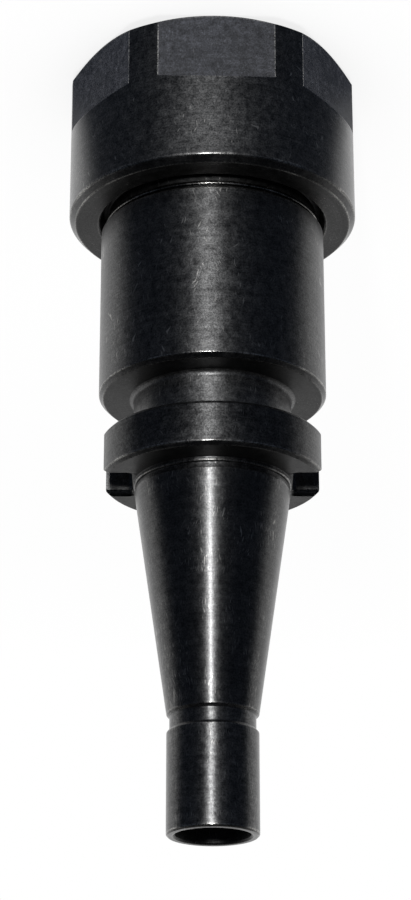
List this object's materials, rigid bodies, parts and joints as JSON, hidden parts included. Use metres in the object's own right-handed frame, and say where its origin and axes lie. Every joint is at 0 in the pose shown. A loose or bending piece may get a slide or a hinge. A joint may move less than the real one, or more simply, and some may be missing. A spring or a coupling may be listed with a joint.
{
  "type": "collet chuck holder",
  "caption": "Steep-taper collet chuck holder: tapered shank with a slotted flange, cylindrical body and a big flatted nut clamping a slotted collet.",
  "frame": {"origin": "centre of the clamping nut's front face, which the holder stands on", "axes": "+Z along the tool's axis from the nut up to the tail; the two drive slots lie on +X and -X; one wrench flat faces about -Y"},
  "size_m": [0.084, 0.084, 0.23],
  "materials": {
    "black_turned": "blackened, satin turned",
    "black_nut": "blackened, matte milled flats",
    "bright_steel": "ground",
    "ball_steel": "polished",
    "spring_steel": "phosphated"
  },
  "bodies": {
    "nut": {"clamping_nut": "black_nut", "retaining_ring": "spring_steel"},
    "balls": {"bearing_balls": "ball_steel"},
    "collet_pack": {"pressure_ring": "bright_steel", "collet": "bright_steel"},
    "holder": {"holder_body": "black_turned"}
  },
  "joints": [
    {"name": "nut_turn", "type": "hinge", "parent": "nut", "child": "collet_pack", "pos_m": [0, 0, 0], "axis": [0, 0, 1], "range_deg": [0, 3600]},
    {"name": "ball_orbit", "type": "hinge", "parent": "nut", "child": "balls", "pos_m": [0, 0, 0], "axis": [0, 0, 1], "range_deg": [0, 1800]},
    {"name": "thread_travel", "type": "slide", "parent": "collet_pack", "child": "holder", "axis": [0, 0, 1], "range_m": [0, 0.02]}
  ],
  "couplings": [
    {"joint": "ball_orbit", "follows": "nut_turn", "ratio": 0.5},
    {"joint": "thread_travel", "follows": "nut_turn", "m_per_rad": 0.00031831}
  ]
}
